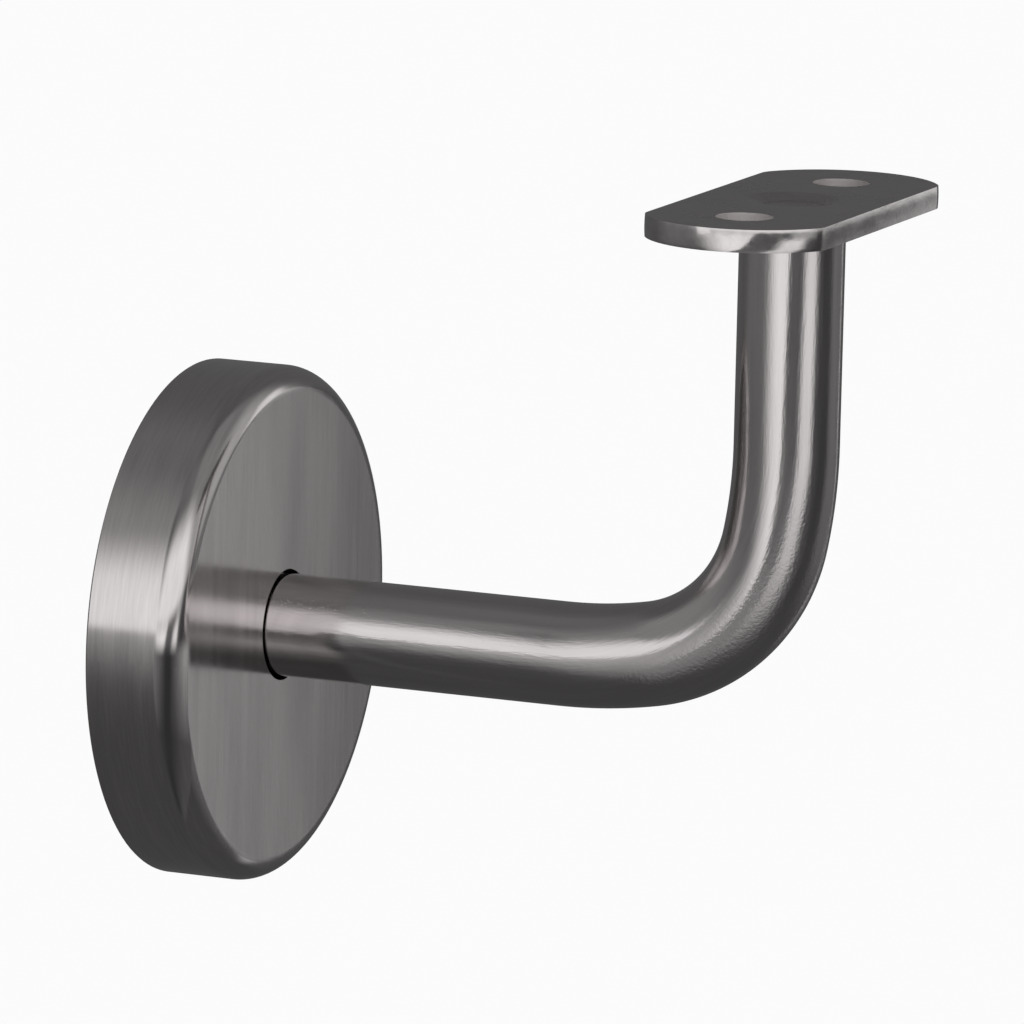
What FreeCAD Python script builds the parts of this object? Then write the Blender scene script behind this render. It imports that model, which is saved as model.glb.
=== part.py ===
import FreeCAD, Part
import math
import os

# Wall bracket for a handrail, in stainless steel. Millimetres, +Z up.
# The origin is the centre of the wall flange's back face. +X leaves the wall along the arm,
# Y runs along the handrail, and the rail rests on the saddle plate at the top of the arm.

Vec = FreeCAD.Vector
X_AXIS = Vec(1, 0, 0)
Z_AXIS = Vec(0, 0, 1)

# Arm: one round bar, bent upright under the rail
bar_diameter = 14.0
arm_reach = 85.0  # wall to the centre line of the upright leg
rail_face_height = 63.7  # centre line of the level leg to the face that the rail rests on
bend_radius = 21.5  # centre line, through the middle of the bend
lead_radius = 67.0  # the gentler curve that leads into and out of the bend
lead_angle = 11.0  # degrees that each lead curve turns
spigot_diameter = 8.0  # turned end of the bar that goes through the saddle plate

# Saddle plate: carries the rail, and is riveted and welded to the spigot in a shallow dish
plate_length = 58.0  # over the tops of the two curved ends
plate_width = 25.0
plate_thickness = 3.0
plate_end_crown = 7.7  # how far each curved end stands out past its two corners
plate_corner_radius = 4.0
plate_edge_round = 0.45  # of the top edge, which is seen
plate_edge_break = 0.2  # of the sharper edge underneath
spigot_clearance = 0.05
dish_diameter = 12.7
dish_depth = 0.8
rail_screw_spacing = 35.0
rail_screw_hole = 7.5

# Wall flange: hidden under the cover, takes the wall screws
flange_thickness = 4.0
flange_edge_chamfer = 0.6
wall_screw_count = 3
wall_screw_circle = 48.0
wall_screw_hole = 6.5
first_screw_angle = 30.0  # degrees that the first wall screw lies above the rail's direction
weld_leg = 3.0

# Cover rosette: a drawn cup that slides along the arm and pushes over the flange
cover_diameter = 70.0
cover_depth = 13.3
cover_wall = 1.2
cover_edge_radius = 3.4
cover_rim_chamfer = 0.3  # deburred edges of the rim, against the wall
cover_hole_chamfer = 0.15
cover_bar_clearance = 0.5
cover_flange_clearance = 0.3

bar_radius = bar_diameter / 2
cover_radius = cover_diameter / 2
flange_radius = cover_radius - cover_wall - cover_flange_clearance
plate_underside = rail_face_height - plate_thickness
dish_floor = rail_face_height - dish_depth


def side_point(x, z):
    """A point in the upright plane that holds the arm's centre line."""
    return Vec(x, 0, z)


def arc_through(first, middle, last):
    return Part.Arc(first, middle, last).toShape()


def edges_at(shape, test):
    """The shape's edges whose every vertex passes the test."""
    return [edge for edge in shape.Edges if all(test(v.Point) for v in edge.Vertexes)]


def axis_distance(point):
    """How far a point is from the axis of the level leg."""
    return math.hypot(point.y, point.z)


def bend_curve(start, radius, heading, turn):
    """An arc of the arm's centre line: its edge and its far end. Angles are in degrees."""
    first = math.radians(heading)
    centre = start + side_point(-radius * math.sin(first), radius * math.cos(first))

    def at(angle):
        swing = math.radians(angle)
        return centre + side_point(radius * math.sin(swing), -radius * math.cos(swing))

    last = at(heading + turn)
    return arc_through(start, at(heading + turn / 2), last), last


def bend_extent():
    """How far the whole bend reaches along each leg."""
    lead = math.radians(lead_angle)
    leads = lead_radius * (math.sin(lead) + 1 - math.cos(lead))
    return leads + bend_radius * (math.cos(lead) - math.sin(lead))


def arm_centre_line():
    """Level leg, lead curve, bend, lead curve and upright leg, each tangent to the next."""
    start = side_point(flange_thickness, 0)
    corner = side_point(arm_reach - bend_extent(), 0)
    edges = [Part.makeLine(start, corner)]
    heading = 0.0
    for radius, turn in (
        (lead_radius, lead_angle),
        (bend_radius, 90 - 2 * lead_angle),
        (lead_radius, lead_angle),
    ):
        edge, corner = bend_curve(corner, radius, heading, turn)
        edges.append(edge)
        heading += turn
    edges.append(Part.makeLine(corner, side_point(arm_reach, plate_underside)))
    return Part.Wire(edges)


def support_arm():
    path = arm_centre_line()
    section = Part.Wire(Part.makeCircle(bar_radius, side_point(flange_thickness, 0), X_AXIS))
    bar = path.makePipeShell([section], True, False)
    spigot = Part.makeCylinder(
        spigot_diameter / 2, dish_floor - plate_underside, side_point(arm_reach, plate_underside), Z_AXIS
    )
    return bar.fuse(spigot).removeSplitter()


def saddle_outline():
    """Two straight sides along Y, closed by a curved end across each."""
    half_width = plate_width / 2
    corner_y = plate_length / 2 - plate_end_crown

    def at(x, y):
        return Vec(arm_reach + x, y, plate_underside)

    return Part.Wire([
        Part.makeLine(at(half_width, -corner_y), at(half_width, corner_y)),
        arc_through(at(half_width, corner_y), at(0, plate_length / 2), at(-half_width, corner_y)),
        Part.makeLine(at(-half_width, corner_y), at(-half_width, -corner_y)),
        arc_through(at(-half_width, -corner_y), at(0, -plate_length / 2), at(half_width, -corner_y)),
    ])


def saddle_plate():
    plate = Part.Face(saddle_outline()).extrude(Z_AXIS * plate_thickness)
    corners = [edge for edge in plate.Edges if abs(edge.tangentAt(edge.FirstParameter).z) > 0.99]
    plate = plate.makeFillet(plate_corner_radius, corners)
    plate = plate.makeFillet(plate_edge_round, edges_at(plate, lambda p: abs(p.z - rail_face_height) < 1e-6))
    plate = plate.makeChamfer(plate_edge_break, edges_at(plate, lambda p: abs(p.z - plate_underside) < 1e-6))
    middle = Vec(arm_reach, 0, plate_underside)
    bores = [Part.makeCylinder(spigot_diameter / 2 + spigot_clearance, plate_thickness, middle, Z_AXIS)]
    for side in (-1, 1):
        place = middle + Vec(0, side * rail_screw_spacing / 2, 0)
        bores.append(Part.makeCylinder(rail_screw_hole / 2, plate_thickness, place, Z_AXIS))
    floor = Vec(arm_reach, 0, dish_floor)
    floor_radius = spigot_diameter / 2 + spigot_clearance
    bores.append(Part.makeCone(floor_radius, dish_diameter / 2, dish_depth, floor, Z_AXIS))
    return plate.cut(bores)


def wall_flange():
    disc = Part.makeCylinder(flange_radius, flange_thickness, Vec(0, 0, 0), X_AXIS)
    front_rim = edges_at(disc, lambda p: p.x > flange_thickness / 2)
    disc = disc.makeChamfer(flange_edge_chamfer, front_rim)
    holes = []
    for index in range(wall_screw_count):
        around = math.radians(first_screw_angle + 360 * index / wall_screw_count)
        y = wall_screw_circle / 2 * math.cos(around)
        z = wall_screw_circle / 2 * math.sin(around)
        holes.append(Part.makeCylinder(wall_screw_hole / 2, flange_thickness, Vec(0, y, z), X_AXIS))
    return disc.cut(holes)


def flange_weld():
    """The fillet bead all round the bar, where it stands on the flange."""
    root = side_point(flange_thickness, bar_radius)
    flange_toe = side_point(flange_thickness, bar_radius + weld_leg)
    bar_toe = side_point(flange_thickness + weld_leg, bar_radius)
    profile = Part.makePolygon([root, flange_toe, bar_toe, root])
    return Part.Face(profile).revolve(Vec(0, 0, 0), X_AXIS, 360)


def cover_profile():
    """Half of the cover's section, from the wall to the face and back down the inside."""
    hole = bar_radius + cover_bar_clearance
    inner_radius = cover_radius - cover_wall
    inner_face = cover_depth - cover_wall
    inner_bend = max(cover_edge_radius - cover_wall, cover_rim_chamfer)
    diagonal = 1 - math.sqrt(0.5)

    def corner(x, r, radius):
        """The rounded corner whose sharp point would be at x, r."""
        rim_side = side_point(x - radius, r)
        middle = side_point(x - radius * diagonal, r - radius * diagonal)
        return rim_side, middle, side_point(x, r - radius)

    outer = corner(cover_depth, cover_radius, cover_edge_radius)
    inner = corner(inner_face, inner_radius, inner_bend)
    outer_rim = side_point(0, cover_radius)
    inner_rim = side_point(0, inner_radius)
    outer_hole = side_point(cover_depth, hole)
    inner_hole = side_point(inner_face, hole)
    return Part.Wire([
        Part.makeLine(outer_rim, outer[0]),
        arc_through(*outer),
        Part.makeLine(outer[2], outer_hole),
        Part.makeLine(outer_hole, inner_hole),
        Part.makeLine(inner_hole, inner[2]),
        arc_through(*reversed(inner)),
        Part.makeLine(inner[0], inner_rim),
        Part.makeLine(inner_rim, outer_rim),
    ])


def cover_rosette():
    cup = Part.Face(cover_profile()).revolve(Vec(0, 0, 0), X_AXIS, 360)
    rim = edges_at(cup, lambda p: abs(p.x) < 1e-6)
    cup = cup.makeChamfer(cover_rim_chamfer, rim)
    near_hole = bar_radius + cover_bar_clearance + cover_hole_chamfer
    mouth = edges_at(cup, lambda p: abs(p.x - cover_depth) < 1e-6 and axis_distance(p) < near_hole)
    return cup.makeChamfer(cover_hole_chamfer, mouth)


pieces = {
    "wall_flange": wall_flange,
    "flange_weld": flange_weld,
    "support_arm": support_arm,
    "saddle_plate": saddle_plate,
    "cover_rosette": cover_rosette,
}

os.makedirs("parts", exist_ok=True)
for name, make in pieces.items():
    shape = make()
    shape.exportStep(f"parts/{name}.step")
    print(name, "valid" if shape.isValid() else "NOT VALID", "solids", len(shape.Solids), round(shape.Volume, 1))
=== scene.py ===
from math import acos, atan2, cos, degrees, hypot, pi, radians, sin, tan

import bmesh
import bpy
from mathutils import Matrix, Vector


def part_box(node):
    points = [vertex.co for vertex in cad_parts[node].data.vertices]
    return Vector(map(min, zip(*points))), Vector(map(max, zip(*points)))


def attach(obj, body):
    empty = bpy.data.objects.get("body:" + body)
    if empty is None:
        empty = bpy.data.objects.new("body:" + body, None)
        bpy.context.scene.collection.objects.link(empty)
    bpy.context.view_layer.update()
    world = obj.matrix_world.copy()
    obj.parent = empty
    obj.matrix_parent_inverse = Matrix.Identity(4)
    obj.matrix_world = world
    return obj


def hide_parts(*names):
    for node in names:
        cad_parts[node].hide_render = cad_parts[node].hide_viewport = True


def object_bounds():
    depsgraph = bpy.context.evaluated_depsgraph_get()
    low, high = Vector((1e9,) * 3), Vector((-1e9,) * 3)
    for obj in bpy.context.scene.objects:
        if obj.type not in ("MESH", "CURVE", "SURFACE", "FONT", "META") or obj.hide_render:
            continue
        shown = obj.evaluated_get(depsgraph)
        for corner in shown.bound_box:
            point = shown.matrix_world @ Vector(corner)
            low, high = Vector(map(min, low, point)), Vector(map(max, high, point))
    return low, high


# Handrail bracket in dark satin stainless steel: wall cover, bent arm, saddle plate for the rail,
# and the flange with its weld behind the cover. Metres, +Z up, the wall is at x = 0.

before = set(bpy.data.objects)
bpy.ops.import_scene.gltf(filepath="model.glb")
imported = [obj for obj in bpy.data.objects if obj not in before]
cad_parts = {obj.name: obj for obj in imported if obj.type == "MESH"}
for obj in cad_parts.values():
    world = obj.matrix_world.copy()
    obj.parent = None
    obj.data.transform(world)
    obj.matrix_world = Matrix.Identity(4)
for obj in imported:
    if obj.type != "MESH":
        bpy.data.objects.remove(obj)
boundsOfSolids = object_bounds()
print("frame loaded:", ", ".join(sorted(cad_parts)))

mm = 0.001
near = 0.01 * mm  # two places closer than this count as one
sharpAngle = radians(50)  # edges that turn further than this are shaded sharp
armLow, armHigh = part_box("support_arm")
plateLow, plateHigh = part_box("saddle_plate")
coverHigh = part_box("cover_rosette")[1]
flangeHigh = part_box("wall_flange")[1]
weldLow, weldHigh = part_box("flange_weld")

barRadius = armHigh.y
reach = (plateLow.x + plateHigh.x) / 2  # wall to the middle of the upright leg


# Mesh helpers

def vertsOf(geometry):
    return [item for item in geometry if isinstance(item, bmesh.types.BMVert)]


def edgesOf(geometry):
    return [item for item in geometry if isinstance(item, bmesh.types.BMEdge)]


def offAxis(place):
    return hypot(place.y, place.z)  # distance from the axis of the level leg


def edgesWhere(bm, test):
    return [edge for edge in bm.edges if all(test(vert.co) for vert in edge.verts)]


def roundOff(bm, edges, radius, segments):
    bmesh.ops.bevel(
        bm, geom=edges, offset=radius, offset_type="OFFSET", affect="EDGES", segments=segments,
        profile=0.5, material=-1, clamp_overlap=True,
    )


def pushOut(bm, edges, offset, steps=1):
    for _ in range(steps):
        made = bmesh.ops.extrude_edge_only(bm, edges=edges)["geom"]
        bmesh.ops.translate(bm, verts=vertsOf(made), vec=Vector(offset) / steps)
        edges = edgesOf(made)
    return edges


def ring(bm, centre, radius, steps):
    made = bmesh.ops.create_circle(bm, cap_ends=False, segments=steps, radius=radius,
                                   matrix=Matrix.Translation(centre))
    return list({edge for vert in made["verts"] for edge in vert.link_edges})


def mergeDoubles(bm):
    bmesh.ops.remove_doubles(bm, verts=bm.verts, dist=near / 10)


def spinSection(bm, section, steps):
    corners = [bm.verts.new((x, 0, z)) for x, z in section]
    edges = [bm.edges.new(pair) for pair in zip(corners, corners[1:] + corners[:1])]
    bmesh.ops.spin(bm, geom=corners + edges, cent=(0, 0, 0), axis=(1, 0, 0), angle=2 * pi,
                   steps=steps, use_merge=True)


def finishPiece(bm, name, node, body, materials):
    mergeDoubles(bm)
    bmesh.ops.recalc_face_normals(bm, faces=bm.faces)
    mesh = bpy.data.meshes.new(name)
    bm.to_mesh(mesh)
    bm.free()
    for material in materials:
        mesh.materials.append(material)
    mesh.shade_smooth()
    mesh.set_sharp_from_angle(angle=sharpAngle)
    piece = bpy.data.objects.new(name, mesh)
    bpy.context.scene.collection.objects.link(piece)
    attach(piece, body)
    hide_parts(node)
    weighted = piece.modifiers.new("evenShading", "WEIGHTED_NORMAL")
    weighted.keep_sharp = True
    print("piece made:", name, "with", len(mesh.polygons), "faces")
    return piece


# Material helpers

def newMaterial(name):
    material = bpy.data.materials.new(name)
    material.use_nodes = True
    material.node_tree.nodes.clear()
    return material


def addNode(material, kind, feeds=None, **settings):
    tree = material.node_tree
    node = tree.nodes.new("ShaderNode" + kind)
    for key, value in settings.items():
        setattr(node, key, value)
    for key, value in (feeds or {}).items():
        if isinstance(value, bpy.types.NodeSocket):
            tree.links.new(value, node.inputs[key])
        else:
            node.inputs[key].default_value = value
    return node


def calculate(material, operation, first, second=0.0):
    return addNode(material, "Math", {0: first, 1: second}, operation=operation).outputs[0]


def add(material, first, second):
    return calculate(material, "ADD", first, second)


def multiply(material, first, second):
    return calculate(material, "MULTIPLY", first, second)


def spread(material, value, low, high, toLow, toHigh, smooth=False):
    kind = "SMOOTHSTEP" if smooth else "LINEAR"
    feeds = {"Value": value, "From Min": low, "From Max": high, "To Min": toLow, "To Max": toHigh}
    return addNode(material, "MapRange", feeds, interpolation_type=kind).outputs["Result"]


def spreadNoise(material, noise, toLow, toHigh):
    return spread(material, noise, 0.3, 0.7, toLow, toHigh)  # noise seldom leaves 0.3 to 0.7


def noiseLines(material, place, scale, detail=3.0):
    moved = addNode(material, "Mapping", {"Vector": place, "Scale": scale}).outputs[0]
    feeds = {"Vector": moved, "Scale": 1.0, "Detail": detail, "Roughness": 0.6}
    return addNode(material, "TexNoise", feeds).outputs["Fac"]


def objectPlace(material):
    return addNode(material, "TexCoord").outputs["Object"]


steel = {
    "dark": (0.487, 0.458, 0.467, 1),  # colour in the deepest brush lines
    "light": (0.756, 0.721, 0.714, 1),
    "bumpDepth": 0.02 * mm,
}


def steelColour(material, tone):
    feeds = {"Factor": tone, 6: steel["dark"], 7: steel["light"]}
    return addNode(material, "Mix", feeds, data_type="RGBA", clamp_factor=True).outputs[2]


def steelSurface(material, tone, roughness, height, bump, anisotropy=0.0, tangent=None):
    feeds = {"Height": height, "Strength": bump, "Distance": steel["bumpDepth"]}
    normal = addNode(material, "Bump", feeds)
    feeds = {
        "Base Color": steelColour(material, tone), "Roughness": roughness,
        "Normal": normal.outputs["Normal"], "Metallic": 1.0, "Anisotropic": anisotropy,
    }
    if tangent is not None:
        feeds["Tangent"] = tangent
    shader = addNode(material, "BsdfPrincipled", feeds)
    addNode(material, "OutputMaterial", {"Surface": shader.outputs[0]})
    return material


# Cover rosette: a drawn cup, brushed straight on the face and round the rim

cover = {
    "edgeRadius": 3.4 * mm,
    "wall": 1.2 * mm,
    "rimRound": 0.3 * mm,
    "holeRadius": barRadius + 0.5 * mm,
    "holeRound": 0.12 * mm,
    "steps": 288,
    "edgeSegments": 16,
    "innerSegments": 8,
    "smallSegments": 4,  # of the rim's and the hole's rounds
    "faceShare": 0.2,  # how far the straight brushing runs onto the rounded edge
    "lineShare": 0.55,  # of the streaks; the bands make up the rest
    "faceLines": (300, 3600, 110),  # noise per metre along x, y and z
    "faceBands": (60, 520, 16),
    "faceClouds": (40, 40, 40),
    "faceDrifts": (40, 90, 22),
    "faceTone": (0.38, 0.72),  # 0 is the dark steel colour and 1 the light one
    "cloudTone": 0.08,
    "driftTone": 0.22,
    "faceRoughness": (0.16, 0.20),
    "faceBump": 0.10,
    "faceAnisotropy": 0.1,
    "rimLines": (2400, 140, 1),
    "rimBands": (420, 30, 1),
    "rimTone": (0.44, 0.80),
    "rimRoughness": (0.13, 0.17),
    "rimBump": 0.12,
    "rimAnisotropy": 0.5,
}


def brushStreaks(material, lines, bands, tone):
    streaks = add(material, multiply(material, lines, cover["lineShare"]),
                  multiply(material, bands, 1 - cover["lineShare"]))
    return spread(material, streaks, 0.36, 0.64, *tone)  # two noises together keep nearer the middle


def brushDirection(material, x, y):
    return addNode(material, "CombineXYZ", {"X": x, "Y": y, "Z": 0.0}).outputs[0]


def coverFaceBrushed():
    material = newMaterial("coverFaceBrushed")
    place = objectPlace(material)
    lines = noiseLines(material, place, cover["faceLines"])
    bands = noiseLines(material, place, cover["faceBands"])
    clouds = noiseLines(material, place, cover["faceClouds"], 2.0)
    drifts = noiseLines(material, place, cover["faceDrifts"], 1.0)
    cloudTone, driftTone = cover["cloudTone"], cover["driftTone"]
    tone = brushStreaks(material, lines, bands, cover["faceTone"])
    tone = add(material, tone, spreadNoise(material, clouds, -cloudTone, cloudTone))
    tone = add(material, tone, spread(material, drifts, 0.35, 0.65, -driftTone, driftTone))
    roughness = spreadNoise(material, bands, *cover["faceRoughness"])
    return steelSurface(material, tone, roughness, lines, cover["faceBump"],
                        cover["faceAnisotropy"], brushDirection(material, 0.0, 1.0))


def coverRimBrushed():
    material = newMaterial("coverRimBrushed")
    parts = addNode(material, "SeparateXYZ", {0: objectPlace(material)}).outputs
    angle = calculate(material, "ARCTAN2", parts["Z"], parts["Y"])
    around = multiply(material, angle, coverHigh.y)
    place = addNode(material, "CombineXYZ", {"X": parts["X"], "Y": around}).outputs[0]
    lines = noiseLines(material, place, cover["rimLines"])
    bands = noiseLines(material, place, cover["rimBands"])
    tone = brushStreaks(material, lines, bands, cover["rimTone"])
    roughness = spreadNoise(material, bands, *cover["rimRoughness"])
    return steelSurface(material, tone, roughness, lines, cover["rimBump"],
                        cover["rimAnisotropy"], brushDirection(material, 1.0, 0.0))


def makeCover():
    depth, radius, wall, hole = coverHigh.x, coverHigh.y, cover["wall"], cover["holeRadius"]
    bm = bmesh.new()
    spinSection(bm, [
        (0, radius), (depth, radius), (depth, hole),
        (depth - wall, hole), (depth - wall, radius - wall), (0, radius - wall),
    ], cover["steps"])

    def edgesAt(x, r):
        return edgesWhere(bm, lambda co: abs(co.x - x) < near and abs(offAxis(co) - r) < near)

    small = cover["smallSegments"]
    roundOff(bm, edgesAt(depth, radius), cover["edgeRadius"], cover["edgeSegments"])
    roundOff(bm, edgesAt(depth - wall, radius - wall), cover["edgeRadius"] - wall, cover["innerSegments"])
    roundOff(bm, edgesAt(0, radius) + edgesAt(0, radius - wall), cover["rimRound"], small)
    roundOff(bm, edgesAt(depth, hole), cover["holeRound"], small)
    faceEdge = radius - cover["edgeRadius"] * (1 - cover["faceShare"])
    for face in bm.faces:
        middle = face.calc_center_median()
        face.material_index = 0 if middle.x > depth / 2 and offAxis(middle) < faceEdge else 1
    finishPiece(bm, "coverRosette", "cover_rosette", "cover",
                [coverFaceBrushed(), coverRimBrushed()])


# Support arm: one ground bar, bent through a gentle lead curve, the bend and a second lead curve

arm = {
    "leadRadius": 67 * mm,
    "leadAngle": radians(11),
    "bendRadius": 21.5 * mm,
    "sides": 128,
    "levelSteps": 12,
    "leadSteps": 12,
    "bendSteps": 56,
    "uprightSteps": 8,
    "spigotRadius": 4 * mm,
    "groundLines": (380, 3000, 1),  # along and round the bar
    "lineDepth": 0.8,
    "drawLines": (45, 800, 1),
    "drawTone": (0.40, 0.60),
    "clouds": (70, 70, 70),
    "cloudTone": 0.06,
    "roughness": (0.10, 0.15),
    "bump": 0.9,
    "sand": (2200, 2200, 2200),  # the skin that the bend stretches turns sandy
    "sandDepth": 2.6,
    "sandRoughness": 0.04,
    "sandGrowth": (2.4, 0.7),  # how fast it sets in toward the outside, and how late
    "grit": (2600, 2600, 2600),  # specks in a line along the level leg, most of them near the cover
    "gritAlong": (20 * mm, 46 * mm),
    "gritShare": (0.20, 0.02),
    "gritAbove": (-7.8 * mm, -7.0 * mm),
    "gritBelow": (-5.2 * mm, -4.4 * mm),
    "gritCut": (0.80, 0.88),
    "gritDepth": 0.7,
}
bendExtent = (
    arm["leadRadius"] * (sin(arm["leadAngle"]) + 1 - cos(arm["leadAngle"]))
    + arm["bendRadius"] * (cos(arm["leadAngle"]) - sin(arm["leadAngle"]))
)


def armGround():
    material = newMaterial("armGround")
    along = addNode(material, "UVMap", uv_map="alongBar").outputs[0]
    lines = noiseLines(material, along, arm["groundLines"])
    drawn = noiseLines(material, along, arm["drawLines"], 2.0)
    sand = noiseLines(material, objectPlace(material), arm["sand"], 2.0)
    clouds = noiseLines(material, objectPlace(material), arm["clouds"], 2.0)
    flat = addNode(material, "SeparateXYZ", {0: along}).outputs
    nearCover = spread(material, flat["X"], *arm["gritAlong"], *arm["gritShare"])
    above = spread(material, flat["Y"], *arm["gritAbove"], 0.0, 1.0)
    below = spread(material, flat["Y"], *arm["gritBelow"], 1.0, 0.0)
    pitted = multiply(material, nearCover, multiply(material, above, below))
    specks = add(material, noiseLines(material, objectPlace(material), arm["grit"], 1.0), pitted)
    grit = spread(material, specks, *arm["gritCut"], 0.0, arm["gritDepth"])
    stretched = addNode(material, "Attribute", attribute_name="stretchedSkin").outputs["Fac"]
    grain = multiply(material, sand, multiply(material, stretched, arm["sandDepth"]))
    height = add(material, multiply(material, lines, arm["lineDepth"]), grain)
    height = add(material, height, grit)
    tone = add(material, spreadNoise(material, drawn, *arm["drawTone"]),
               spreadNoise(material, clouds, -arm["cloudTone"], arm["cloudTone"]))
    roughness = add(material, spreadNoise(material, drawn, *arm["roughness"]),
                    multiply(material, stretched, arm["sandRoughness"]))
    return steelSurface(material, tone, roughness, height, arm["bump"])


def mapBar(piece):
    mesh = piece.data
    middle = Vector((reach - bendExtent, 0, bendExtent))
    growth, delay = arm["sandGrowth"]

    def measure(place):  # distance along the bar, distance round it, share of stretched skin
        if place.x < middle.x:
            return place.x, atan2(place.y, place.z) * barRadius, 0.0
        if place.z > middle.z:
            along = middle.x + bendExtent * pi / 2 + place.z - middle.z
            return along, atan2(place.y, reach - place.x) * barRadius, 0.0
        swing = atan2(place.x - middle.x, middle.z - place.z)
        out = hypot(place.x - middle.x, place.z - middle.z) - bendExtent
        outer = min(max(growth * out / barRadius - delay, 0), 1)
        return middle.x + bendExtent * swing, atan2(place.y, -out) * barRadius, sin(2 * swing) * outer

    layer = mesh.uv_layers.new(name="alongBar")
    for loop in mesh.loops:
        layer.data[loop.index].uv = measure(mesh.vertices[loop.vertex_index].co)[:2]
    skin = mesh.attributes.new("stretchedSkin", "FLOAT", "POINT")
    for vert in mesh.vertices:
        skin.data[vert.index].value = measure(vert.co)[2]


def makeArm():
    bm = bmesh.new()
    seat = Matrix.Translation((armLow.x, 0, 0)) @ Matrix.Rotation(pi / 2, 4, "Y")
    bmesh.ops.create_circle(bm, cap_ends=True, segments=arm["sides"], radius=barRadius, matrix=seat)
    corner = Vector((reach - bendExtent, 0, 0))
    end = pushOut(bm, list(bm.edges), (corner.x - armLow.x, 0, 0), arm["levelSteps"])
    heading = 0.0
    for radius, swing, steps in (
        (arm["leadRadius"], arm["leadAngle"], arm["leadSteps"]),
        (arm["bendRadius"], pi / 2 - 2 * arm["leadAngle"], arm["bendSteps"]),
        (arm["leadRadius"], arm["leadAngle"], arm["leadSteps"]),
    ):
        centre = corner + Vector((-sin(heading), 0, cos(heading))) * radius
        made = bmesh.ops.spin(bm, geom=end, cent=centre, axis=(0, -1, 0), angle=swing, steps=steps)
        end = edgesOf(made["geom_last"])
        heading += swing
        corner = centre + Vector((sin(heading), 0, -cos(heading))) * radius
    end = pushOut(bm, end, (0, 0, plateLow.z - corner.z), arm["uprightSteps"])
    made = bmesh.ops.extrude_edge_only(bm, edges=end)["geom"]
    shrink = arm["spigotRadius"] / barRadius
    bmesh.ops.scale(bm, vec=(shrink, shrink, 1), verts=vertsOf(made),
                    space=Matrix.Translation((-reach, 0, 0)))
    end = pushOut(bm, edgesOf(made), (0, 0, armHigh.z - plateLow.z))
    bmesh.ops.contextual_create(bm, geom=end)
    mapBar(finishPiece(bm, "bentArm", "support_arm", "bracket", [armGround()]))


# Saddle plate: straight sides, curved ends, two screw holes and a dish round the riveted spigot

plate = {
    "crown": 7.7 * mm,
    "cornerRadius": 4 * mm,
    "topRound": 0.45 * mm,
    "bottomRound": 0.2 * mm,
    "sideBulge": 0.05 * mm,  # how far the sides fall back to their top and bottom edges
    "sideCuts": 5,
    "holeSpacing": 35 * mm,
    "holeRadius": 3.75 * mm,
    "holeRound": 0.15 * mm,
    "boreRadius": 4.05 * mm,
    "dishRadius": 6.35 * mm,
    "dishDepth": 0.8 * mm,
    "cornerSteps": 6,
    "endSteps": 40,
    "holeSteps": 72,
    "dishSteps": 96,
    "topSegments": 6,
    "bottomSegments": 4,
    "holeSegments": 3,
    "topSlope": 0.9,  # faces whose normal rises more than this take the top's finish
    "topLines": (260, 2600, 200),
    "topClouds": (110, 110, 110),
    "topTone": (0.22, 0.46),
    "topCloudTone": 0.10,
    "topRoughness": (0.26, 0.32),
    "topBump": 0.1,
    "edgeRipple": (700, 240, 640),
    "edgeTone": (0.35, 0.70),
    "edgeRoughness": (0.08, 0.13),
    "edgeBump": 0.6,
    "boreLines": (1500, 1500, 300),
    # the bore walls take a lighter colour: painted highlight for the lit far wall of the holes, on top of
    # the drilled steel's own tone
    "borePaintedLightTone": (0.8, 1.1),  # past 1 it stays at the light colour
    "boreRoughness": (0.65, 0.80),
    "boreBump": 0.8,
}


def plateTopSatin():
    material = newMaterial("plateTopSatin")
    place = objectPlace(material)
    lines = noiseLines(material, place, plate["topLines"])
    clouds = noiseLines(material, place, plate["topClouds"])
    tone = add(material, spreadNoise(material, lines, *plate["topTone"]),
               spreadNoise(material, clouds, -plate["topCloudTone"], plate["topCloudTone"]))
    roughness = spreadNoise(material, clouds, *plate["topRoughness"])
    return steelSurface(material, tone, roughness, lines, plate["topBump"])


def plateEdgePolished():
    material = newMaterial("plateEdgePolished")
    ripple = noiseLines(material, objectPlace(material), plate["edgeRipple"], 2.0)
    tone = spreadNoise(material, ripple, *plate["edgeTone"])
    roughness = spreadNoise(material, ripple, *plate["edgeRoughness"])
    return steelSurface(material, tone, roughness, ripple, plate["edgeBump"])


def boreDull():
    material = newMaterial("boreDull")
    drawn = noiseLines(material, objectPlace(material), plate["boreLines"], 2.0)
    # the lighter tone here is partly painted highlight, standing in for light on the holes' far walls
    tone = spreadNoise(material, drawn, *plate["borePaintedLightTone"])
    roughness = spreadNoise(material, drawn, *plate["boreRoughness"])
    return steelSurface(material, tone, roughness, drawn, plate["boreBump"])


def plateOutline(bm, height):
    halfWidth, halfLength = (plateHigh.x - plateLow.x) / 2, plateHigh.y
    endRadius = (halfWidth ** 2 + plate["crown"] ** 2) / (2 * plate["crown"])
    inset = halfWidth - plate["cornerRadius"]
    swing = acos(inset / (endRadius - plate["cornerRadius"]))
    endMiddle = halfLength - endRadius
    cornerMiddle = endMiddle + tan(swing) * inset
    pen = bm.verts.new((reach + halfWidth, -cornerMiddle, height))
    for side in (1, -1):
        made = bmesh.ops.extrude_vert_indiv(bm, verts=[pen])
        pen = made["verts"][0]
        bmesh.ops.translate(bm, verts=[pen], vec=(0, 2 * side * cornerMiddle, 0))
        for across, up, angle, steps in (
            (inset, cornerMiddle, swing, plate["cornerSteps"]),
            (0, endMiddle, pi - 2 * swing, plate["endSteps"]),
            (-inset, cornerMiddle, swing, plate["cornerSteps"]),
        ):
            centre = (reach + side * across, side * up, height)
            made = bmesh.ops.spin(bm, geom=[pen], cent=centre, axis=(0, 0, 1), angle=angle, steps=steps)
            pen = vertsOf(made["geom_last"])[0]


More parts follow.
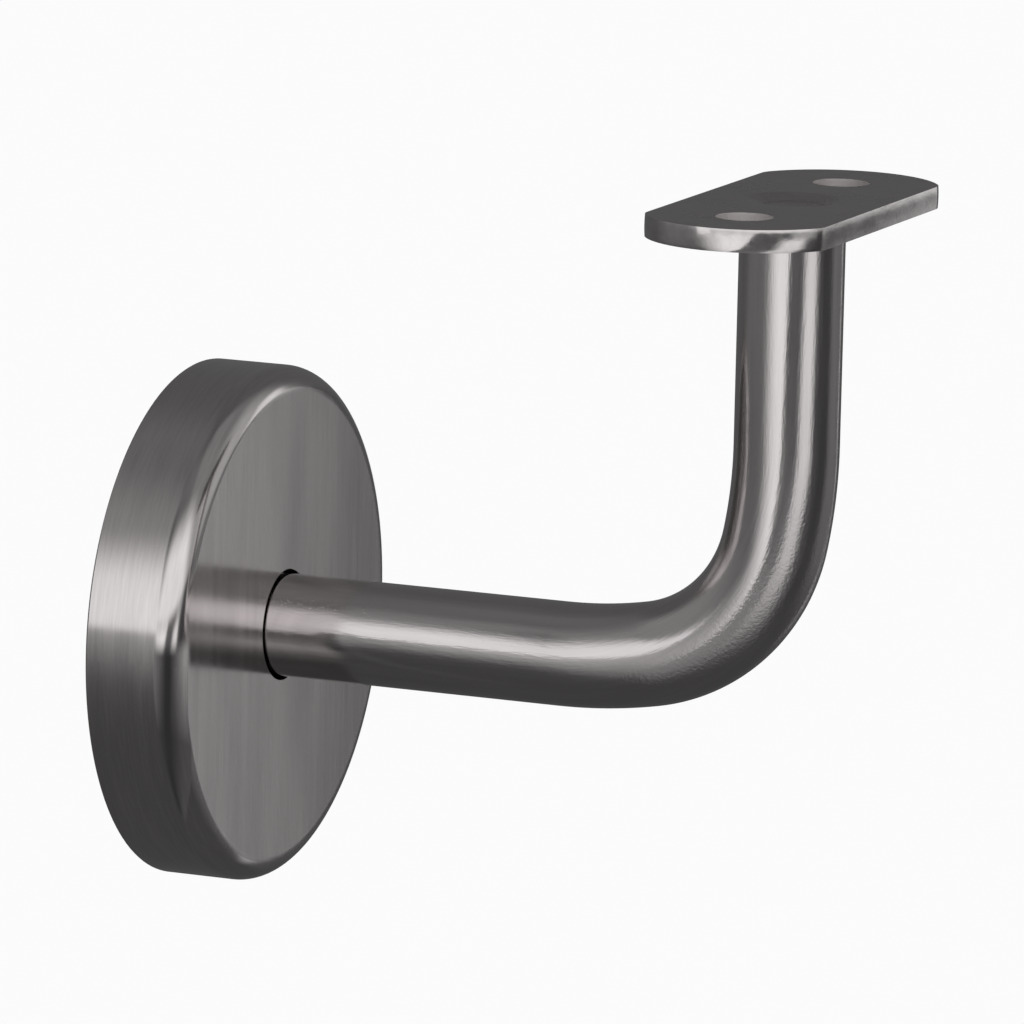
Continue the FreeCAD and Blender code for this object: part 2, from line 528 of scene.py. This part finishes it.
def outsideHoles(place):
    nearest = min(hypot(place.x - reach, place.y - side * plate["holeSpacing"] / 2) for side in (-1, 0, 1))
    return nearest - plate["holeRadius"]


def bulgeSides(bm):
    halfWidth, halfLength = (plateHigh.x - plateLow.x) / 2, plateHigh.y
    middle, halfHeight = (plateHigh.z + plateLow.z) / 2, (plateHigh.z - plateLow.z) / 2
    clear = plate["dishRadius"]
    columns = [edge for edge in bm.edges if outsideHoles(edge.verts[0].co) > clear
               and abs(edge.verts[0].co.z - edge.verts[1].co.z) > halfHeight]
    bmesh.ops.subdivide_edges(bm, edges=columns, cuts=plate["sideCuts"], use_grid_fill=True)
    for step in range(plate["sideCuts"] + 2):
        share = 2 * step / (plate["sideCuts"] + 1) - 1
        height = middle + share * halfHeight
        level = [vert for vert in bm.verts
                 if abs(vert.co.z - height) < near and outsideHoles(vert.co) > clear]
        fall = plate["sideBulge"] * share ** 2
        bmesh.ops.scale(bm, vec=(1 - fall / halfWidth, 1 - fall / halfLength, 1), verts=level,
                        space=Matrix.Translation((-reach, 0, 0)))


def makePlate():
    bm = bmesh.new()
    thickness = plateHigh.z - plateLow.z
    sheets = []
    for height, middleRadius in ((plateHigh.z, plate["dishRadius"]), (plateLow.z, plate["boreRadius"])):
        plateOutline(bm, height)
        mergeDoubles(bm)
        outline = [edge for edge in bm.edges if not edge.link_faces]
        middle = ring(bm, (reach, 0, height), middleRadius, plate["dishSteps"])
        holes = [ring(bm, (reach, side * plate["holeSpacing"] / 2, height), plate["holeRadius"],
                      plate["holeSteps"])
                 for side in (-1, 1)]
        loops = [outline, middle] + holes
        bmesh.ops.triangle_fill(bm, edges=sum(loops, []), use_beauty=True, use_dissolve=False)
        sheets.append(loops)
    top, bottom = sheets
    for index in (0, 2, 3):
        bmesh.ops.bridge_loops(bm, edges=top[index] + bottom[index])
    floor = pushOut(bm, bottom[1], (0, 0, thickness - plate["dishDepth"]))
    bmesh.ops.bridge_loops(bm, edges=floor + top[1])
    bmesh.ops.recalc_face_normals(bm, faces=bm.faces)
    bulgeSides(bm)

    def rimEdges(inner, upper):  # edges with one flat face beside them
        middle = (plateHigh.z + plateLow.z) / 2
        return [edge for edge in bm.edges
                if sum(abs(face.normal.z) > 0.999 for face in edge.link_faces) == 1
                and (outsideHoles(edge.verts[0].co) < plate["holeRadius"]) == inner
                and (edge.verts[0].co.z > middle) == upper]

    roundOff(bm, rimEdges(False, True), plate["topRound"], plate["topSegments"])
    roundOff(bm, rimEdges(False, False), plate["bottomRound"], plate["bottomSegments"])
    roundOff(bm, rimEdges(True, True) + rimEdges(True, False), plate["holeRound"], plate["holeSegments"])
    for face in bm.faces:
        inBore = outsideHoles(face.calc_center_median()) < near
        face.material_index = 2 if inBore else 0 if abs(face.normal.z) > plate["topSlope"] else 1
    finishPiece(bm, "railSaddle", "saddle_plate", "bracket",
                [plateTopSatin(), plateEdgePolished(), boreDull()])


# Wall flange behind the cover, with its screw holes

flange = {
    "chamfer": 0.6 * mm,
    "rimRound": 0.2 * mm,  # of the screw holes
    "rimSegments": 2,
    "rimAngle": radians(60),  # only edges that turn further are rims
    "steps": 192,
    "screwCircle": 24 * mm,  # its radius
    "screwRadius": 3.25 * mm,
    "screwCount": 3,
    "firstScrew": radians(30),
    "screwSteps": 64,
    "turnedLines": (1600, 2600, 1),
    "tone": (0.40, 0.70),
    "clouds": (60, 60, 60),
    "cloudTone": 0.12,
    "roughness": (0.30, 0.42),
    "bump": 0.2,
}


def flangeTurned():
    material = newMaterial("flangeTurned")
    parts = addNode(material, "SeparateXYZ", {0: objectPlace(material)}).outputs
    square = add(material, multiply(material, parts["Y"], parts["Y"]),
                 multiply(material, parts["Z"], parts["Z"]))
    out = calculate(material, "SQRT", square)
    turned = addNode(material, "CombineXYZ", {"X": parts["X"], "Y": out}).outputs[0]
    lines = noiseLines(material, turned, flange["turnedLines"], 2.0)
    clouds = noiseLines(material, objectPlace(material), flange["clouds"])
    tone = add(material, spreadNoise(material, lines, *flange["tone"]),
               spreadNoise(material, clouds, -flange["cloudTone"], flange["cloudTone"]))
    roughness = spreadNoise(material, clouds, *flange["roughness"])
    return steelSurface(material, tone, roughness, lines, flange["bump"])


def makeFlange():
    radius, thickness = flangeHigh.y, flangeHigh.x
    bm = bmesh.new()
    loops = ring(bm, (0, 0, 0), radius, flange["steps"])
    for index in range(flange["screwCount"]):
        around = flange["firstScrew"] + 2 * pi * index / flange["screwCount"]
        centre = Vector((cos(around), sin(around), 0)) * flange["screwCircle"]
        loops += ring(bm, centre, flange["screwRadius"], flange["screwSteps"])
    bmesh.ops.triangle_fill(bm, edges=loops, use_beauty=True, use_dissolve=False)
    made = bmesh.ops.extrude_face_region(bm, geom=list(bm.faces))
    bmesh.ops.translate(bm, verts=vertsOf(made["geom"]), vec=(0, 0, thickness))
    turn = Matrix(((0, 0, 1), (1, 0, 0), (0, 1, 0))).to_4x4()  # stands the disc up against the wall
    bmesh.ops.transform(bm, matrix=turn, verts=bm.verts)
    front = edgesWhere(bm, lambda co: co.x > thickness / 2 and offAxis(co) > radius - near)
    roundOff(bm, front, flange["chamfer"], 1)
    rims = [edge for edge in bm.edges if len(edge.link_faces) == 2
            and offAxis(edge.verts[0].co) < radius - 3 * flange["chamfer"]
            and edge.calc_face_angle(0) > flange["rimAngle"]]
    roundOff(bm, rims, flange["rimRound"], flange["rimSegments"])
    finishPiece(bm, "wallFlange", "wall_flange", "bracket", [flangeTurned()])


# Weld bead round the bar, with the ripples that the torch leaves

weld = {
    "steps": 240,
    "ripples": 46,
    "rippleDepth": 0.14 * mm,
    "rippleStart": 0.02,  # share of the leg that stays plain along both toes
    "fullness": 1.6,  # 2 is a flat fillet, 1 a quarter round
    "sectionTurn": 12,  # degrees
    "sectionSteps": 7,
    "clouds": (300, 300, 300),
    "tone": (0.25, 0.75),
    "fine": (1500, 1500, 1500),
    "roughness": (0.30, 0.45),
    "bump": 0.3,
}


def weldBead():
    material = newMaterial("weldBead")
    clouds = noiseLines(material, objectPlace(material), weld["clouds"])
    fine = noiseLines(material, objectPlace(material), weld["fine"], 2.0)
    tone = spreadNoise(material, clouds, *weld["tone"])
    roughness = spreadNoise(material, fine, *weld["roughness"])
    return steelSurface(material, tone, roughness, fine, weld["bump"])


def makeWeld():
    bm = bmesh.new()
    start, leg = weldLow.x, weldHigh.x - weldLow.x
    section = [(start, barRadius), (start, barRadius + leg)]
    for step in range(1, weld["sectionSteps"] + 1):
        swing = radians(weld["sectionTurn"] * step)
        section.append((start + leg * sin(swing) ** weld["fullness"],
                        barRadius + leg * cos(swing) ** weld["fullness"]))
    section.append((start + leg, barRadius))
    spinSection(bm, section, weld["steps"])
    for vert in bm.verts:
        around = atan2(vert.co.z, vert.co.y)
        rise = min(vert.co.x - start, offAxis(vert.co) - barRadius) / leg
        if rise > weld["rippleStart"]:
            dip = weld["rippleDepth"] * rise * (1 - abs(sin(around * weld["ripples"] / 2)))
            shrink = 1 - dip / offAxis(vert.co)
            vert.co = Vector((vert.co.x - dip, vert.co.y * shrink, vert.co.z * shrink))
    finishPiece(bm, "beadWeld", "flange_weld", "bracket", [weldBead()])


makeCover()
makeArm()
makePlate()
makeFlange()
makeWeld()

# Studio: a pale floor, an even white world and a soft lamp above. Only reflections show the rest: a
# tent with bright and dark cards on it, and a small dark flag that stands round the cover's edge.

studio = {
    "floorDrop": 0.50,
    "floorSize": 40,
    "floorColour": (0.96, 0.96, 0.96, 1),
    "floorRoughness": 0.9,
    "world": 0.88,
    "lampStrength": 0.42,
    "lampSoftness": radians(40),
    "lampTilt": (radians(10), radians(12), 0),
    "tentRadius": 0.45,
    "tentCentre": (0.045, 0.0, 0.02),
    "tentLevel": 0.116,
}
# cards on the tent: azimuth and height angle from and to, how soft those four edges are, how much the
# two upright edges lean (azimuth per height), and the level
cards = {
    "below": ((-181, 181), (-95, -17), (1, 1, 1, 60), (0, 0), 0.07),
    "leftWall": ((-86, -30), (1, 58), (27, 7, 60, 8), (0, 0), 0.30),
    "overhead": ((-119, 48), (50, 81), (60, 59, 25, 25), (0, 0), 0.17),
    "highRight": ((35, 150), (44, 84), (24, 20, 16, 12), (0, 0), 0.25),
    "sideWall": ((110, 150), (-25, 54), (3, 16, 41, 23), (0, 0), 0.18),
    "backCorner": ((159.3, 181), (-36, 2), (2, 1, 20, 6), (0, 0), 0.09),
    "backWall": ((154.5, 159.6), (-36, 2), (2, 1, 20, 6), (0, 0), 0.53),
    "upperRight": ((65, 150), (-1, 36), (7, 30, 3, 40), (0, 0), 0.46),
    "sideGlow": ((146, 156), (-0.5, 14), (3, 3, 3, 8), (0, 0), 0.95),
    "lowBox": ((-26, 64), (-50, -17), (8, 35, 38, 34), (-0.2, -0.1), 0.29),
    "bigBox": ((-33, 92), (5, 43), (38, 22, 6, 30), (0.7, -0.6), 1.04),
    "narrowBox": ((-32, -16), (0, 30), (4, 3, 3, 26), (-0.1, -0.3), 1.08),
    "leftBox": ((-21, 26), (-30, 5), (42, 2, 26, 14), (-0.6, 1.3), 1.12),
    "rightBox": ((58, 81), (-25, -1), (14, 12, 60, 3), (1.1, 0.7), 1.05),
    "rightGap": ((89, 119), (-49, 3), (16, 16, 20, 5), (0.3, 0.3), 0.06),
}


def tentMaterial():
    material = newMaterial("tentCloth")
    outwards = addNode(material, "VectorMath", {0: objectPlace(material)}, operation="NORMALIZE").outputs[0]
    parts = addNode(material, "SeparateXYZ", {0: outwards}).outputs
    forward = multiply(material, parts["Y"], -1.0)
    azimuth = multiply(material, calculate(material, "ARCTAN2", parts["X"], forward), degrees(1))
    rise = multiply(material, calculate(material, "ARCSINE", parts["Z"]), degrees(1))
    level = studio["tentLevel"]
    for (left, right), (bottom, top), softness, leans, strength in cards.values():
        leaning = [calculate(material, "SUBTRACT", azimuth, multiply(material, rise, lean))
                   for lean in leans]
        mask = 1.0
        for value, edge, soft, ends in (
            (leaning[0], left, softness[0], (0.0, 1.0)), (leaning[1], right, softness[1], (1.0, 0.0)),
            (rise, bottom, softness[2], (0.0, 1.0)), (rise, top, softness[3], (1.0, 0.0)),
        ):
            step = spread(material, value, edge - soft / 2, edge + soft / 2, *ends, True)
            mask = multiply(material, step, mask)
        feeds = {0: mask, 2: level, 3: strength}
        level = addNode(material, "Mix", feeds, data_type="FLOAT").outputs[0]
    glow = addNode(material, "Emission", {"Strength": level})
    addNode(material, "OutputMaterial", {"Surface": glow.outputs[0]})
    material.cycles.emission_sampling = "NONE"
    return material


flag = {
    "centre": (9.6 * mm, -31.3 * mm),
    "radius": 6 * mm,
    "span": (radians(-4), radians(122)),  # azimuth from and to
    "steps": 24,
    "top": 4.0 * mm,
    "height": 95 * mm,
    "fade": 3 * mm,  # below its top, where it turns solid
    "level": 0.04,
    "pale": 0.36,  # toward the middle of the face
    "paleSpan": (-35.6 * mm, -30 * mm),  # along y
    "side": 0.20,  # beside the rim
    "sideSpan": (9.2 * mm, 12.8 * mm),  # along x
    "lowShare": 0.15,  # how much of both is left lower down
    "lowSpan": (-12 * mm, 0.0),  # along z
}


def flagMaterial():
    material = newMaterial("flagCloth")
    place = addNode(material, "SeparateXYZ", {0: objectPlace(material)}).outputs
    solid = spread(material, place["Z"], flag["top"] - flag["fade"], flag["top"], 1.0, 0.0, True)
    inner = spread(material, place["Y"], *flag["paleSpan"], 0.0, flag["pale"])
    outer = spread(material, place["X"], *flag["sideSpan"], flag["side"], 0.0)
    share = spread(material, place["Z"], *flag["lowSpan"], flag["lowShare"], 1.0)
    lit = multiply(material, add(material, inner, outer), share)
    lit = add(material, lit, flag["level"])
    glow = addNode(material, "Emission", {"Strength": lit})
    clear = addNode(material, "BsdfTransparent")
    mixed = addNode(material, "MixShader", {0: solid, 1: clear.outputs[0], 2: glow.outputs[0]})
    addNode(material, "OutputMaterial", {"Surface": mixed.outputs[0]})
    material.cycles.emission_sampling = "NONE"
    return material


def stageMesh(bm, name, material, reflectionOnly):
    mesh = bpy.data.meshes.new(name)
    bm.to_mesh(mesh)
    bm.free()
    mesh.materials.append(material)
    item = bpy.data.objects.new(name, mesh)
    bpy.context.scene.collection.objects.link(item)
    if reflectionOnly:
        item.visible_camera = False
        item.visible_diffuse = False
        item.visible_transmission = False
        item.visible_volume_scatter = False
        item.visible_shadow = False
    return item


def makeFloor():
    material = newMaterial("floorPaint")
    feeds = {
        "Base Color": studio["floorColour"], "Roughness": studio["floorRoughness"],
        "Specular IOR Level": 0.0,
    }
    shader = addNode(material, "BsdfPrincipled", feeds)
    addNode(material, "OutputMaterial", {"Surface": shader.outputs[0]})
    floorHeight = boundsOfSolids[0][2] - studio["floorDrop"]
    bm = bmesh.new()
    bmesh.ops.create_grid(bm, x_segments=1, y_segments=1, size=studio["floorSize"] / 2,
                          matrix=Matrix.Translation((0, 0, floorHeight)))
    stageMesh(bm, "floor", material, False)


def makeTent():
    bm = bmesh.new()
    bmesh.ops.create_uvsphere(bm, u_segments=64, v_segments=32, radius=studio["tentRadius"])
    tent = stageMesh(bm, "tent", tentMaterial(), True)
    tent.data.shade_smooth()
    tent.location = studio["tentCentre"]


def makeFlag():
    first, last = flag["span"]
    centre = Vector((*flag["centre"], 0))
    start = centre + Vector((sin(first), -cos(first), 0)) * flag["radius"]
    bm = bmesh.new()
    low = bm.verts.new(start + Vector((0, 0, flag["top"] - flag["height"])))
    made = bmesh.ops.extrude_vert_indiv(bm, verts=[low])
    bmesh.ops.translate(bm, verts=made["verts"], vec=(0, 0, flag["height"]))
    bmesh.ops.spin(bm, geom=[low] + made["verts"] + made["edges"], cent=centre, axis=(0, 0, 1),
                   angle=last - first, steps=flag["steps"])
    stageMesh(bm, "flag", flagMaterial(), True)


def makeLight():
    lamp = bpy.data.lights.new("softLamp", "SUN")
    lamp.energy = studio["lampStrength"]
    lamp.angle = studio["lampSoftness"]
    lampObject = bpy.data.objects.new("softLamp", lamp)
    lampObject.rotation_euler = studio["lampTilt"]
    lampObject.visible_glossy = False
    bpy.context.scene.collection.objects.link(lampObject)

    world = bpy.data.worlds.new("evenWhite")
    bpy.context.scene.world = world
    world.use_nodes = True
    background = world.node_tree.nodes["Background"].inputs
    background["Color"].default_value = (1, 1, 1, 1)
    background["Strength"].default_value = studio["world"]
    world.cycles.sampling_method = "NONE"


# Camera

lookout = {
    "aim": (0.04441, 0.00394, 0.01769),
    "azimuth": radians(22.72),
    "rise": radians(10.467),
    "roll": radians(1.27),
    "distance": 1.1974,
    "lens": 314.47,
    "sensorWidth": 36,
    "clip": (0.01, 200),
}


def makeCamera():
    data = bpy.data.cameras.new("camera")
    data.lens = lookout["lens"]
    data.sensor_width = lookout["sensorWidth"]
    data.clip_start, data.clip_end = lookout["clip"]
    camera = bpy.data.objects.new("camera", data)
    bpy.context.scene.collection.objects.link(camera)
    turned = Matrix.Rotation(lookout["azimuth"], 4, "Z") @ Matrix.Rotation(pi / 2 - lookout["rise"], 4, "X")
    turned = turned @ Matrix.Rotation(lookout["roll"], 4, "Z")
    back = turned @ Vector((0, 0, lookout["distance"]))
    camera.matrix_world = Matrix.Translation(Vector(lookout["aim"]) + back) @ turned
    bpy.context.scene.camera = camera
    bpy.context.scene.view_settings.view_transform = "Standard"
    print("camera placed")


makeFloor()
makeTent()
makeFlag()
makeLight()
print("studio made")
makeCamera()
